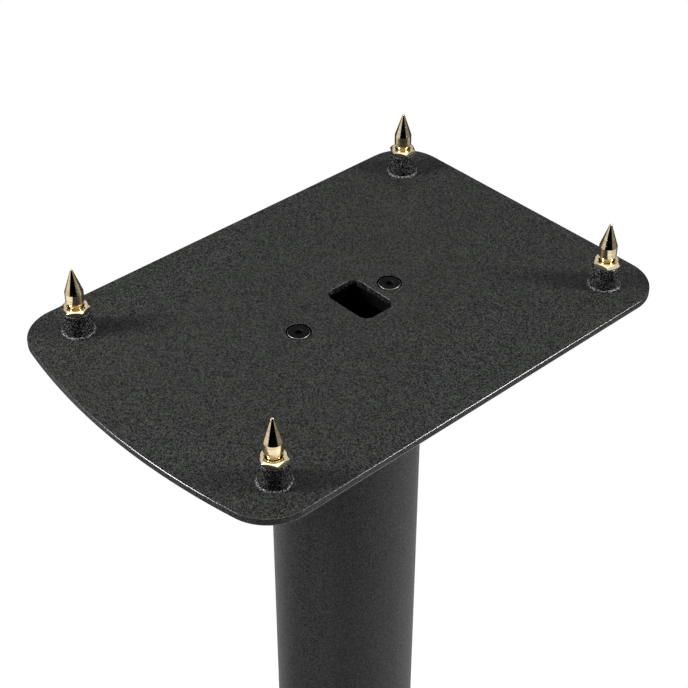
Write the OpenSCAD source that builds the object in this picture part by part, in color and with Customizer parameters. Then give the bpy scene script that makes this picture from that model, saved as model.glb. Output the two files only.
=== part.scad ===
// Speaker stand: a bow-fronted top plate on a round steel pillar, over a larger base plate.
// Each plate carries four adjustable spikes: up under the speaker, down to the floor.
// Millimetres. The origin is on the floor under the pillar's axis, +X is the stand's right,
// +Y its rear and +Z up, so the bowed edge of both plates faces -Y.

/* [Stand] */
// Height of the top plate's upper face above the floor
stand_h = 600; // [450:5:800]

/* [Top plate] */
// Width of the top plate
top_w = 200; // [180:1:240]
// From the pillar's axis to the straight rear edge
top_rear = 140; // [125:1:170]
// From the pillar's axis to the middle of the bowed front edge
top_front = 148; // [135:1:175]
// Radius of the bowed front edge
top_bow_r = 388; // [300:1:700]
// Radius of the corners, seen from above
top_corner_r = 25; // [15:1:35]
// Thickness of the steel plate
top_t = 4; // [4:0.5:8]
// From the side edges to the spikes
top_spike_side = 23.5; // [18:0.5:32]
// From the rear edge to the rear spikes
top_spike_rear = 25; // [18:0.5:35]
// From the middle of the front edge to the front spikes
top_spike_front = 35; // [30:0.5:50]

/* [Base plate] */
// Width of the base plate
base_w = 280; // [240:1:340]
// From the straight rear edge to the middle of the bowed front edge, with the pillar halfway
base_l = 340; // [300:2:420]
// Radius of the bowed front edge
base_bow_r = 600; // [400:5:1200]
// Radius of the corners, seen from above
base_corner_r = 30; // [20:1:45]
// Thickness of the steel plate
base_t = 5; // [4:0.5:10]
// From the side edges to the floor spikes
base_spike_side = 28; // [20:0.5:40]
// From the rear edge to the rear floor spikes
base_spike_rear = 28; // [20:0.5:40]
// From the middle of the front edge to the front floor spikes
base_spike_front = 42; // [32:0.5:60]

/* [Plate edges] */
// Radius that rounds the top and bottom of each plate's rim
edge_r = 1.1; // [0.4:0.1:1.8]
// Break on the edges of the cable slot
slot_edge = 0.4; // [0.2:0.1:0.8]

/* [Pillar] */
// Outside diameter of the steel tube
pillar_d = 82.5; // [78:0.5:100]
// Wall of the steel tube
pillar_wall = 2.5; // [1.5:0.1:4]
// Thickness of the welded end rings
ring_t = 10; // [9:0.5:16]
// Clearance of the end rings round the corners of the cable slot
ring_clear = 0.2; // [0:0.1:1]
// Radial gap of the end rings in the tube, filled by the weld
ring_gap = 0.05; // [0.02:0.01:0.2]
// Leg of the weld bead under each end ring
ring_weld = 2; // [1:0.5:4]

/* [Cable way] */
// Width of the cable openings, from side to side
slot_w = 32; // [20:0.5:34]
// Length of the slot in the top plate, from front to rear
slot_l = 21.5; // [14:0.5:24]
// From the pillar's axis back to the middle of the slot
slot_back = 10.6; // [6:0.2:12]
// Corner radius of the cable openings
slot_r = 5.5; // [3:0.5:6.5]
// Height of the exit in the pillar's rear wall
exit_h = 22; // [14:0.5:40]
// From the base plate's upper face to the middle of the exit
exit_rise = 45; // [35:1:120]

/* [Spikes] */
// Thread of the spikes, bosses and lock nuts
thread_d = 8; // [7:0.5:8.5]
// Height of the threaded bosses
boss_h = 12.5; // [10:0.5:18]
// Wall of the bosses round the thread, at the top
boss_wall = 3; // [2:0.1:4]
// How much wider than its top a boss is at the foot, on the radius
boss_flare = 0.9; // [0:0.1:1.5]
// Leg of the weld bead round each boss
boss_weld = 0.8; // [0.5:0.1:2]
// Distance across the flats of the lock nuts
nut_af = 13; // [12:0.5:17]
// Thickness of the lock nuts
nut_t = 3; // [2.5:0.5:4.5]
// Depth of the chamfer at the mouth of the thread in the lock nuts
nut_sink = 0.5; // [0.3:0.1:0.9]
// Length of thread that shows between a lock nut and its spike's body
thread_show = 2.5; // [2.2:0.1:5]
// Diameter of a spike's body
spike_d = 9.6; // [9.5:0.1:10]
// Chamfer round the foot of a spike's body
spike_chamfer = 0.5; // [0.2:0.1:0.5]
// Height of a spike's straight body
spike_body_h = 6; // [4:0.5:12]
// Height of a spike's cone
spike_cone_h = 13; // [8:0.5:20]
// Diameter of the blunted tip
spike_tip_d = 1.2; // [0.8:0.1:2]
// Gap between the end of a spike's stud and the plate
stud_foot = 3.2; // [2.5:0.1:5]
// Chamfer on the end of the stud
stud_chamfer = 0.8; // [0.4:0.1:1.2]

/* [Screws] */
// Thread of the countersunk plate screws
screw_d = 6; // [5:0.5:6]
// Length of the screws, with their heads
screw_len = 12; // [11:0.5:14]
// Diameter of the screw heads
screw_head_d = 12.2; // [11:0.1:12.6]
// Straight rim on the screw heads
screw_rim = 0.4; // [0.2:0.1:0.6]
// Distance across the flats of the hexagon socket
socket_af = 4; // [3:0.5:4]
// Depth of the hexagon socket
socket_depth = 2.4; // [1.5:0.1:2.6]
// Number of screws through the base plate
base_screws = 4; // [2:1:6]

/* [Fits] */
// Radial clearance in every thread
thread_gap = 0.05; // [0.02:0.01:0.1]
// Radial clearance of the screws in the plates
hole_gap = 0.4; // [0.2:0.1:0.6]

/* [Hidden] */
CORNERS = ["front_left", "front_right", "rear_left", "rear_right"];
SCREW_ENDS = ["front", "rear"];
BASE_SCREWS = [for (i = [1 : base_screws]) str("base_screw_", i)];
$fn = 96;

// Turn of each lock nut about its thread, as it was left when it was tightened
TOP_NUT_TURNS = [52, 34, 31, 18];
BASE_NUT_TURNS = [20, 3, 41, 12];
// Places of the two plate screws at the top and of the rest below, as angles about the pillar
TOP_SCREW_ANGLES = [-90, 90];
base_screw_first = 45;

// Number of flat steps in each corner, in a bowed edge and in a rounded rim
corner_steps = 12;
bow_steps = 24;
rim_steps = 4;
bead_steps = 5;

// How far cuts run past the faces they open
overrun = 1;

// Heights of one spike station above its plate
thread_r = thread_d / 2;
stud_r = thread_r - thread_gap;
boss_top_r = thread_r + boss_wall;
boss_foot_r = boss_top_r + boss_flare;
nut_top = boss_h + nut_t;
nut_corner_r = nut_af / 2 / cos(30);
spike_r = spike_d / 2;
body_foot = nut_top + thread_show;
body_top = body_foot + spike_body_h;
spike_top = body_top + spike_cone_h;

// Heights of the stand, from the floor up
base_bottom = spike_top;
base_top = base_bottom + base_t;
top_bottom = stand_h - top_t;
pillar_h = top_bottom - base_top;

// Radii of the pillar and its end rings
pillar_r = pillar_d / 2;
tube_bore_r = pillar_r - pillar_wall;
ring_r = tube_bore_r - ring_gap;
slot_reach = norm([slot_w / 2 - slot_r, slot_back + slot_l / 2 - slot_r]) + slot_r;
ring_bore_r = slot_reach + ring_clear;
screw_circle_r = (ring_r + ring_bore_r) / 2;

// Plates as width, rear, front, bow radius, corner radius
TOP = [top_w, top_rear, top_front, top_bow_r, top_corner_r];
BASE = [base_w, base_l / 2, base_l / 2, base_bow_r, base_corner_r];
TOP_INSETS = [top_spike_side, top_spike_rear, top_spike_front];
BASE_INSETS = [base_spike_side, base_spike_rear, base_spike_front];

// Points along an arc from one angle to another
function arc(centre, r, from, to, steps) =
    [for (i = [0 : steps]) centre + r * [cos(from + (to - from) * i / steps), sin(from + (to - from) * i / steps)]];

// Outline of a plate drawn in by an inset. The front corners touch the bow from inside.
function plate_outline(plate, inset) =
    let (
        corner_r = plate[4] - inset,
        side_x = plate[0] / 2 - plate[4],
        rear_y = plate[1] - plate[4],
        bow_y = plate[3] - plate[2],
        reach = plate[3] - plate[4],
        front_y = bow_y - sqrt(reach * reach - side_x * side_x),
        half_angle = asin(side_x / reach)
    )
    concat(
        arc([side_x, rear_y], corner_r, 0, 90, corner_steps),
        arc([-side_x, rear_y], corner_r, 90, 180, corner_steps),
        arc([-side_x, front_y], corner_r, 180, 270 - half_angle, corner_steps),
        arc([0, bow_y], plate[3] - inset, 270 - half_angle, 270 + half_angle, bow_steps),
        arc([side_x, front_y], corner_r, 270 + half_angle, 360, corner_steps)
    );

// Place of spike station i on a plate, in the order of CORNERS
function station(plate, insets, i) =
    let (side = i % 2 == 0 ? -1 : 1)
    [side * (plate[0] / 2 - insets[0]), i < 2 ? insets[2] - plate[2] : plate[1] - insets[1]];

// Steel plate with both edges of its rim rounded
module rounded_plate(plate, t) {
    hull()
        for (k = [0 : rim_steps]) {
            inset = edge_r * (1 - sin(90 * k / rim_steps));
            rise = edge_r * (1 - cos(90 * k / rim_steps));
            translate([0, 0, rise])
                linear_extrude(t - 2 * rise)
                    polygon(plate_outline(plate, inset));
        }
}

// Clearance hole and countersink for one plate screw, whose head faces +Z at height 0
module screw_hole(t) {
    sink_r = screw_head_d / 2 + screw_rim;
    hole_r = screw_d / 2 + hole_gap;
    translate([0, 0, -t - overrun])
        cylinder(r = hole_r, h = t + 2 * overrun);
    translate([0, 0, hole_r - sink_r])
        cylinder(r1 = hole_r, r2 = sink_r + overrun, h = sink_r + overrun - hole_r);
}

// Rounded opening for cables, drawn flat about its middle and grown all round
module cable_opening(w, l, grow) {
    offset(r = slot_r + grow, $fn = 32)
        square([w - 2 * slot_r, l - 2 * slot_r], center = true);
}

// Cable slot through a plate of thickness t, with both of its edges broken
module cable_slot(t) {
    translate([0, 0, -overrun])
        linear_extrude(t + 2 * overrun)
            cable_opening(slot_w, slot_l, 0);
    for (side = [0, 1])
        translate([0, 0, side * t])
            mirror([0, 0, side])
                hull() {
                    translate([0, 0, -overrun])
                        linear_extrude(overrun)
                            cable_opening(slot_w, slot_l, slot_edge);
                    linear_extrude(slot_edge)
                        cable_opening(slot_w, slot_l, 0);
                }
}

module top_plate() {
    color("#2e2f30")
        translate([0, 0, top_bottom])
            difference() {
                rounded_plate(TOP, top_t);
                for (a = TOP_SCREW_ANGLES)
                    rotate(a)
                        translate([screw_circle_r, 0, top_t])
                            screw_hole(top_t);
                translate([0, slot_back, 0])
                    cable_slot(top_t);
            }
}

module base_plate() {
    color("#2e2f30")
        translate([0, 0, base_bottom])
            difference() {
                rounded_plate(BASE, base_t);
                for (i = [0 : base_screws - 1])
                    rotate(base_screw_angle(i))
                        translate([screw_circle_r, 0, 0])
                            mirror([0, 0, 1])
                                screw_hole(base_t);
            }
}

function base_screw_angle(i) = base_screw_first + 360 * i / base_screws;

// Threaded boss with the weld bead round its foot, standing on a plate at height 0
module boss() {
    color("#242424")
        rotate_extrude()
            polygon(concat(
                [[thread_r, 0]],
                arc([boss_foot_r, 0], boss_weld, 0, 90, bead_steps),
                [[boss_top_r, boss_h], [thread_r, boss_h]]
            ));
}

// Thin lock nut, chamfered at its corners and at the mouth of its thread
module lock_nut() {
    chamfer_r = nut_af / 2;
    drop = (nut_corner_r - chamfer_r) * tan(30);
    color("#c9b27c")
        translate([0, 0, boss_h])
            difference() {
                intersection() {
                    cylinder(r = nut_corner_r, h = nut_t, $fn = 6);
                    rotate_extrude()
                        polygon([
                            [0, 0],
                            [chamfer_r, 0],
                            [nut_corner_r, drop],
                            [nut_corner_r, nut_t - drop],
                            [chamfer_r, nut_t],
                            [0, nut_t]
                        ]);
                }
                translate([0, 0, -overrun])
                    cylinder(r = thread_r, h = nut_t + 2 * overrun);
                translate([0, 0, nut_t - nut_sink])
                    cylinder(r1 = thread_r, r2 = thread_r + nut_sink + overrun, h = nut_sink + overrun);
            }
}

// Turned spike: chamfered stud, straight body with a chamfered foot and a cone with a blunt tip
module spike() {
    color("#b79a5e")
        rotate_extrude()
            polygon([
                [0, stud_foot],
                [stud_r - stud_chamfer, stud_foot],
                [stud_r, stud_foot + stud_chamfer],
                [stud_r, body_foot],
                [spike_r - spike_chamfer, body_foot],
                [spike_r, body_foot + spike_chamfer],
                [spike_r, body_top],
                [spike_tip_d / 2, spike_top],
                [0, spike_top]
            ]);
}

// Countersunk hexagon-socket screw, whose head is flush with height 0 and faces +Z
module plate_screw() {
    head_r = screw_head_d / 2;
    shank_r = screw_d / 2 - thread_gap;
    color("#1d1d1e")
        difference() {
            rotate_extrude()
                polygon([
                    [0, -screw_len],
                    [shank_r - stud_chamfer, -screw_len],
                    [shank_r, stud_chamfer - screw_len],
                    [shank_r, shank_r - head_r - screw_rim],
                    [head_r, -screw_rim],
                    [head_r, 0],
                    [0, 0]
                ]);
            translate([0, 0, -socket_depth])
                cylinder(r = socket_af / 2 / cos(30), h = socket_depth + overrun, $fn = 6);
        }
}

// Pillar tube with the cable exit through its rear wall
module pillar_tube() {
    color("#2e2f30")
        difference() {
            translate([0, 0, base_top])
                cylinder(r = pillar_r, h = pillar_h);
            translate([0, 0, base_top - overrun])
                cylinder(r = tube_bore_r, h = pillar_h + 2 * overrun);
            translate([0, pillar_r + overrun, base_top + exit_rise])
                rotate([90, 0, 0])
                    linear_extrude(pillar_r)
                        cable_opening(slot_w, exit_h, 0);
        }
}

// Ring welded inside one end of the pillar, tapped for the plate screws at the given angles.
// Its outer face is at height 0 and its weld bead runs round the inner face, at +Z.
module end_ring(angles) {
    color("#242424")
        difference() {
            rotate_extrude()
                polygon(concat(
                    [[ring_bore_r, 0], [ring_r, 0]],
                    [[ring_r, ring_t + ring_weld], [ring_r - ring_weld, ring_t]],
                    [[ring_bore_r, ring_t]]
                ));
            for (a = angles)
                rotate(a)
                    translate([screw_circle_r, 0, -overrun])
                        cylinder(r = screw_d / 2, h = ring_t + 2 * overrun);
        }
}

// Puts a spike station's piece on the top plate
module on_top(i) {
    translate(concat(station(TOP, TOP_INSETS, i), stand_h))
        children();
}

// Puts a spike station's piece under the base plate
module under_base(i) {
    translate(concat(station(BASE, BASE_INSETS, i), base_bottom))
        mirror([0, 0, 1])
            children();
}

top_plate();
base_plate();
pillar_tube();
translate([0, 0, top_bottom]) mirror([0, 0, 1]) end_ring(TOP_SCREW_ANGLES);  // pillar_top_ring
translate([0, 0, base_top]) end_ring([for (i = [0 : base_screws - 1]) base_screw_angle(i)]);  // pillar_base_ring
for (i = [0 : len(CORNERS) - 1]) {
    on_top(i) boss();
    on_top(i) rotate(TOP_NUT_TURNS[i]) lock_nut();
    on_top(i) spike();
    under_base(i) boss();
    under_base(i) rotate(BASE_NUT_TURNS[i]) lock_nut();
    under_base(i) spike();
}
for (i = [0 : len(SCREW_ENDS) - 1])
    rotate(TOP_SCREW_ANGLES[i]) translate([screw_circle_r, 0, stand_h]) plate_screw();
for (i = [0 : base_screws - 1])
    rotate(base_screw_angle(i)) translate([screw_circle_r, 0, base_bottom]) mirror([0, 0, 1]) plate_screw();
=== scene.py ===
import bmesh
import bpy
import functools
import math
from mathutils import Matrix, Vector


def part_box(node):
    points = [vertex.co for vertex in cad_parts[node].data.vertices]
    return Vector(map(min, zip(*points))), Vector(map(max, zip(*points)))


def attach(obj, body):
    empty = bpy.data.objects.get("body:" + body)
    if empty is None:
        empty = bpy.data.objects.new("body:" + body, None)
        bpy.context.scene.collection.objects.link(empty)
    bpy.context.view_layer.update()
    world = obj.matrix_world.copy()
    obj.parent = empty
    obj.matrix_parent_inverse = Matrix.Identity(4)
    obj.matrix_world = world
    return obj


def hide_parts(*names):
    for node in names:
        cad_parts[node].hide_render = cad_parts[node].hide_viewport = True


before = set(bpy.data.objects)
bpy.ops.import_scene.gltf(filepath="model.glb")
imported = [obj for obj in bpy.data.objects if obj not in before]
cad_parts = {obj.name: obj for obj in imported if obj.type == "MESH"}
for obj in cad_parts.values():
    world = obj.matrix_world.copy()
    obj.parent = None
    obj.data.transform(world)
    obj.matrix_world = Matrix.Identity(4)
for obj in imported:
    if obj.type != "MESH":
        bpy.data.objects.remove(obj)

bl_info = {
    "name": "Speaker stand",
    "version": (1, 0, 0),
    "blender": (4, 5, 0),
    "location": "3D View > Sidebar > Stand",
    "description": "Finishes a speaker stand: coated plates and pillar, welded bosses, brass nuts and spikes",
    "category": "Object",
}

CORNERS = ("front_left", "front_right", "rear_left", "rear_right")

# How far each lock nut is turned about its axis, in degrees, in the order of CORNERS
NUT_TURNS = {"top": (52, 34, 31, 12), "base": (20, 3, 41, 12)}
UNTURNED = (0, 0, 0, 0)

# Where the first screw of each plate stands about the pillar's axis, in degrees from the right
FIRST_SCREW = {"top": 90, "base": 45}

# Points closer together than this are merged
MERGE = 1e-6

# Values of the face attribute that marks the inside of the cable slot and of a screw hole for painted shade
IN_SLOT, IN_HOLE = 0.9, 1.0

# How thin and smooth the coat runs on the rim of a plate and on the edges of the slot
RIM_WEAR, SLOT_WEAR = 1.0, 0.3

# Steps round a corner of a plate, along its bowed front, and round a lock nut and a screw
CORNER_STEPS, BOW_STEPS, NUT_STEPS, SCREW_STEPS = 32, 120, 192, 96

# The camera's place, and how far it is turned about Z and looks down, in degrees
EYE, EYE_TURN, EYE_DOWN = (0.497618, -0.454779, 1.094882), 47.617, 37.599

# Softboxes: name, place, side of the square, and which value of the stage is the power. They face LAMP_TARGET
LAMP_TARGET = (0.0, 0.0, 0.6)
SOFTBOXES = (
    ("overhead_softbox", (-0.1, 0.1, 2.1), 0.22, "overhead"),
    ("left_softbox", (-0.462, -0.729, 1.16), 0.26, "sides"),
    ("right_softbox", (0.763, 0.658, 1.2), 0.26, "sides"),
)

# Boards round the stand: radius and height of each ring, and its brightness in front, on the left, on the
# right and behind, as the camera sees the stand
BOARDS = (
    (0.26, 0.002, (2.2, 0.35, 2.0, 1.3)),
    (0.7, 0.002, (2.2, 0.35, 2.0, 1.3)),
    (0.8, 0.002, (1.1, 1.2, 0.9, 0.1)),
    (1.1, 0.002, (1.1, 1.1, 0.8, 0.1)),
    (1.2, 0.002, (0.0, 0.6, 0.2, 0.05)),
    (1.6, 0.02, (0.0, 0.8, 0.25, 0.05)),
    (1.6, 1.3, (0.0, 0.8, 0.25, 0.05)),
)
BOARD_STEPS = 120

# Where the boards' front passes into their sides and the sides into what is behind: angle from the camera's
# side of the stand, and over how many degrees
BOARD_FADES = ((45, 6), (100, 18))

# Board overhead: how far it reaches behind the stand's middle and towards the camera, half its width, its
# height and its brightness
CEILING_BACK, CEILING_FRONT, CEILING_HALF = -0.15, 1.2, 1.2
CEILING_HEIGHT, CEILING_LIGHT = 1.9, 1.7

WHITE = (1.0, 1.0, 1.0, 1.0)

# Kinds of node that come up often. A RANGE takes a value, its two ends and the two ends that these become
MATH, LOGIC, RANGE, MIX = "ShaderNodeMath", "FunctionNodeBooleanMath", "ShaderNodeMapRange", "ShaderNodeMix"
XYZ, SPLIT, PLACE = "ShaderNodeCombineXYZ", "ShaderNodeSeparateXYZ", "ShaderNodeTexCoord"
NOISE, READ, BUMP = "ShaderNodeTexNoise", "ShaderNodeAttribute", "ShaderNodeBump"
PRINCIPLED, SURFACE = "ShaderNodeBsdfPrincipled", "ShaderNodeOutputMaterial"
GROUP, STORE, MOVE = "GeometryNodeGroup", "GeometryNodeStoreNamedAttribute", "GeometryNodeTransform"
CIRCLE, FOUR_SIDED = "GeometryNodeCurvePrimitiveCircle", "GeometryNodeCurvePrimitiveQuadrilateral"
FILLET, UPRIGHT, SWEEP = "GeometryNodeFilletCurve", "GeometryNodeSetCurveNormal", "GeometryNodeCurveToMesh"
INSTANCES, REALIZE = "GeometryNodeInstanceOnPoints", "GeometryNodeRealizeInstances"
WELD, JOIN, SHIFT = "GeometryNodeMergeByDistance", "GeometryNodeJoinGeometry", "GeometryNodeSetPosition"
TO_CURVE, FILL, FLIP = "GeometryNodeMeshToCurve", "GeometryNodeFillCurve", "GeometryNodeFlipFaces"

# Settings of a STORE that keeps one number for each face
PER_FACE = {"data_type": "FLOAT", "domain": "FACE"}

# Which inputs of a MIX are its two numbers and its two colours, and which output is the mixed colour
A_NUMBER, B_NUMBER, A_COLOUR, B_COLOUR, MIXED_COLOUR = 2, 3, 6, 7, 2


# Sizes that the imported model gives

def size_of(node):
    low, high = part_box(node)
    return high - low


def middle_of(node):
    low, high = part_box(node)
    return (low + high) / 2


# Kinds of value that a user may change

def linear(code):
    """Turns an sRGB hex colour into the linear values that Blender works in"""
    channels = [int(code[i:i + 2], 16) / 255 for i in (1, 3, 5)]
    return tuple(c / 12.92 if c <= 0.04045 else ((c + 0.055) / 1.055) ** 2.4 for c in channels)


def length(name, description, default):
    return bpy.props.FloatProperty(
        name=name, description=description, default=default, min=0.0, unit="LENGTH", precision=5)


def colour(name, description, code):
    return bpy.props.FloatVectorProperty(
        name=name, description=description, default=linear(code), subtype="COLOR", min=0.0, max=1.0)


def amount(name, description, default, least=0.0, unit="NONE"):
    return bpy.props.FloatProperty(name=name, description=description, default=default, min=least, unit=unit)


class StandPlates(bpy.types.PropertyGroup):
    top_bow: length("Top bow radius", "Radius of the top plate's bowed front edge", 0.388)
    top_corner: length("Top corner radius", "Radius of the top plate's corners", 0.025)
    base_bow: length("Base bow radius", "Radius of the base plate's bowed front edge", 0.600)
    base_corner: length("Base corner radius", "Radius of the base plate's corners", 0.030)
    rim_radius: length("Rim radius", "Radius that rounds both edges of each rim", 0.0007)
    slot_width: length("Slot width", "Width of the cable slot, side to side", 0.032)
    slot_length: length("Slot length", "Length of the cable slot, front to rear", 0.0215)
    slot_corner: length("Slot corner radius", "Corner radius of the cable slot", 0.0055)
    slot_back: length("Slot place", "From the pillar's axis back to the slot's middle", 0.0106)
    slot_edge: length("Slot edge", "Radius that breaks the slot's edges", 0.0004)


class StandPillar(bpy.types.PropertyGroup):
    diameter: length("Diameter", "Outside diameter of the tube", size_of("pillar_tube").x)
    wall: length("Wall", "Wall of the tube", 0.0025)
    exit_height: length("Exit height", "Height of the cable exit in the rear wall", 0.022)
    exit_rise: length("Exit rise", "From the base plate to the middle of the cable exit", 0.045)


class StandSpikes(bpy.types.PropertyGroup):
    thread: length("Thread", "Diameter of the thread", 0.008)
    pitch: length("Thread pitch", "Height of one turn of the thread", 0.00125)
    depth: length("Thread depth", "Depth of the thread", 0.00062)
    boss_top: length("Boss top", "Diameter of a boss at its top", 0.014)
    boss_foot: length("Boss foot", "Diameter of a boss above its weld", 0.0158)
    swell: length("Boss swell", "How far the side of a boss bulges halfway up", 0.0004)
    bead: length("Weld bead", "Leg of the weld bead round a boss", 0.001)
    bead_lumps: length("Weld lumps", "How far the weld bead's lumps stand out or draw in", 0.00018)
    nut_flats: length("Nut across flats", "Width of a lock nut across its flats", 0.013)
    nut_sink: length("Nut chamfer", "Depth of the chamfer at the mouth of a lock nut's thread", 0.0005)
    nut_bevel: length("Nut bevel", "Width of the polished bevel along a lock nut's edges", 0.00055)
    show: length("Thread shown", "Length of thread between a lock nut and the spike's body", 0.0025)
    body: length("Spike body", "Diameter of a spike's straight body", 0.0096)
    body_chamfer: length("Spike body chamfer", "Chamfer round the foot of the body", 0.0005)
    body_height: length("Spike body height", "Height of the straight body", 0.006)
    tip: length("Spike tip", "Diameter of the blunted tip", 0.0012)


class StandScrews(bpy.types.PropertyGroup):
    head: length("Head diameter", "Diameter of a screw head", size_of("top_screw_front").x - 0.0006)
    shank: length("Shank diameter", "Diameter of a screw's shank", 0.0059)
    rim: length("Head rim", "Straight rim of a screw head", 0.0004)
    hole: length("Clearance hole", "Diameter of the holes in the plates", 0.0068)
    sink_gap: length("Countersink gap", "How much the countersink's radius is larger than the head's", 0.0006)
    socket: length("Socket", "Width of the hexagon socket across its flats", 0.004)
    socket_depth: length("Socket depth", "Depth of the hexagon socket", 0.0024)
    circle: length("Screw circle", "From the pillar's axis to a screw", middle_of("top_screw_rear").y)
    base_count: bpy.props.IntProperty(
        name="Base screws", description="Number of screws through the base plate", default=4, min=2, max=8)


class StandFinish(bpy.types.PropertyGroup):
    coat: colour("Powder coat", "Colour of the textured powder coat", "#020202")
    speck: colour("Coat specks", "Colour of the coat's lighter grains", "#363836")
    # The weld coat's colour also paints the shade inside the plates' holes
    weld: colour("Weld coat", "Colour of the coat on the welds", "#010101")
    # Its paler grains are also painted glints on the weld beads, and painted light near the top of the slot
    pale_grains_and_glints: colour("Weld grains", "Colour of the lighter grains on the welds", "#666866")
    brass: colour("Brass", "Colour of the polished brass plating", "#eedfbd")
    oxide: colour("Black oxide", "Colour of the screws", "#060606")
    steel: colour("Bare steel", "Colour of the screws' rims, where the oxide is rubbed off", "#8f8f8e")


class StandStage(bpy.types.PropertyGroup):
    floor: length("Floor", "Side of the square floor", 12.0)
    floor_colour: colour("Floor colour", "Colour of the floor", "#f2f2f0")
    sky: amount("Sky", "Strength of the soft light from all round", 0.04)
    sheen: amount("Sheen", "Brightness of the studio's ceiling in glossy surfaces", 0.7)
    overhead: amount("Overhead", "Power of the overhead softbox", 1.2, unit="POWER")
    sides: amount("Sides", "Power of each side softbox", 21.5, unit="POWER")
    lens: amount("Lens", "Focal length of the camera, in millimetres", 84.67, least=10.0)


# Helpers for node trees

def add_node(tree, kind, sources=(), **settings):
    """Adds one node with its settings and with what feeds its inputs, listed in order or given by name or
    number: a value, a socket, a node for its first output, or a list of these where an input takes many"""
    node = tree.nodes.new(kind)
    for key, value in settings.items():
        setattr(node, key, value)
    for key, value in sources.items() if isinstance(sources, dict) else enumerate(sources):
        for source in value if isinstance(value, list) else [value]:
            if isinstance(source, bpy.types.Node):
                source = source.outputs[0]
            if isinstance(source, bpy.types.NodeSocket):
                tree.links.new(source, node.inputs[key])
            else:
                node.inputs[key].default_value = source
    return node


def start_tree(name, sockets):
    """Starts a geometry tree, and gives its inputs and the function that adds a node to it. Each input comes
    with its default, or with its kind where it has none."""
    kinds = {bool: "Bool", int: "Int", float: "Float"}
    tree = bpy.data.node_groups.new(name, "GeometryNodeTree")
    tree.interface.new_socket("Geometry", in_out="OUTPUT", socket_type="NodeSocketGeometry")
    for label, default in sockets.items():
        kind = kinds.get(type(default), default)
        socket = tree.interface.new_socket(label, in_out="INPUT", socket_type="NodeSocket" + kind)
        if kind != default:
            socket.default_value = default
    node = functools.partial(add_node, tree)
    return tree, node, node("NodeGroupInput").outputs


def end_tree(tree, geometry, material=None):
    """Ends a tree. One that makes a whole piece also makes its instances real and sets their material."""
    if material is not None:
        geometry = add_node(tree, REALIZE, {"Geometry": geometry})
        geometry = add_node(tree, "GeometryNodeSetMaterial", {"Geometry": geometry, "Material": material})
    add_node(tree, "NodeGroupOutput", {"Geometry": geometry})
    return tree


def points_on_circle(node, count, radius, first):
    """Points set evenly on a circle about the Z axis, from a first angle"""
    step = node(MATH, (2 * math.pi, count), operation="DIVIDE")
    angle = node(MATH, (node("GeometryNodeInputIndex"), step, first), operation="MULTIPLY_ADD")
    x = node(MATH, (radius, node(MATH, (angle,), operation="COSINE")), operation="MULTIPLY")
    y = node(MATH, (radius, node(MATH, (angle,), operation="SINE")), operation="MULTIPLY")
    return node("GeometryNodePoints", {"Count": count, "Position": node(XYZ, (x, y))})


# Helpers for pieces

def make_mesh(name, points, edges=(), faces=()):
    mesh = bpy.data.meshes.new(name)
    mesh.from_pydata([tuple(p) for p in points], list(edges), list(faces))
    return mesh


def grow(name, mesh, tree, values):
    """Runs a tree on a mesh, and keeps the result as a plain mesh at the origin"""
    piece = bpy.data.objects.new(name, mesh)
    modifier = piece.modifiers.new(tree.name, "NODES")
    modifier.node_group = tree
    left = dict(values)
    for item in tree.interface.items_tree:
        if item.item_type == "SOCKET" and item.in_out == "INPUT" and item.name in left:
            modifier[item.identifier] = left.pop(item.name)
    if left:
        raise RuntimeError(f"{tree.name} has no input named {sorted(left)}")
    bpy.context.scene.collection.objects.link(piece)
    bake(piece)
    return piece


def bake(piece):
    """Replaces a piece's mesh and modifiers by the mesh that they make"""
    depsgraph = bpy.context.evaluated_depsgraph_get()
    made = bpy.data.meshes.new_from_object(piece.evaluated_get(depsgraph), depsgraph=depsgraph)
    if not made.polygons:
        raise RuntimeError(f"{piece.name} came out empty")
    piece.modifiers.clear()
    piece.data = made
    made.name = piece.name


def close_and_smooth(piece, angle):
    """Merges doubles, turns faces outwards, and smooths all edges but those sharper than so many degrees"""
    work = bmesh.new()
    work.from_mesh(piece.data)
    bmesh.ops.remove_doubles(work, verts=work.verts, dist=MERGE)
    bmesh.ops.dissolve_degenerate(work, edges=work.edges, dist=MERGE)
    bmesh.ops.recalc_face_normals(work, faces=work.faces)
    open_edges = sum(1 for e in work.edges if len(e.link_faces) != 2)
    work.to_mesh(piece.data)
    work.free()
    if open_edges:
        print(f"{piece.name}: {open_edges} open edges")
    piece.data.shade_smooth()
    piece.data.set_sharp_from_angle(angle=math.radians(angle))
    weighted = piece.modifiers.new("Weighted normal", "WEIGHTED_NORMAL")
    weighted.keep_sharp = True
    bake(piece)


def finish_piece(piece, body, slot, *nodes, angle=38):
    close_and_smooth(piece, angle)
    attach(piece, body)
    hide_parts(*nodes)


# Geometry trees

def rounded_line_tree():
    """A line through four points with its corners rounded, open or closed"""
    tree, node, given = start_tree("Rounded line", {
        "Point 1": "Vector", "Point 2": "Vector", "Point 3": "Vector", "Point 4": "Vector",
        "Radius": 0.001, "Steps": 4, "Closed": False})
    corners = ("Point 1", "Point 2", "Point 3", "Point 4")
    line = node(FOUR_SIDED, {corner: given[corner] for corner in corners}, mode="POINTS")
    line = node("GeometryNodeSetSplineCyclic", {"Geometry": line, "Cyclic": given["Closed"]})
    line = node(FILLET, {
        "Curve": line, "Radius": given["Radius"], "Count": given["Steps"], "Limit Radius": True}, mode="POLY")
    return end_tree(tree, line)


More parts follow.
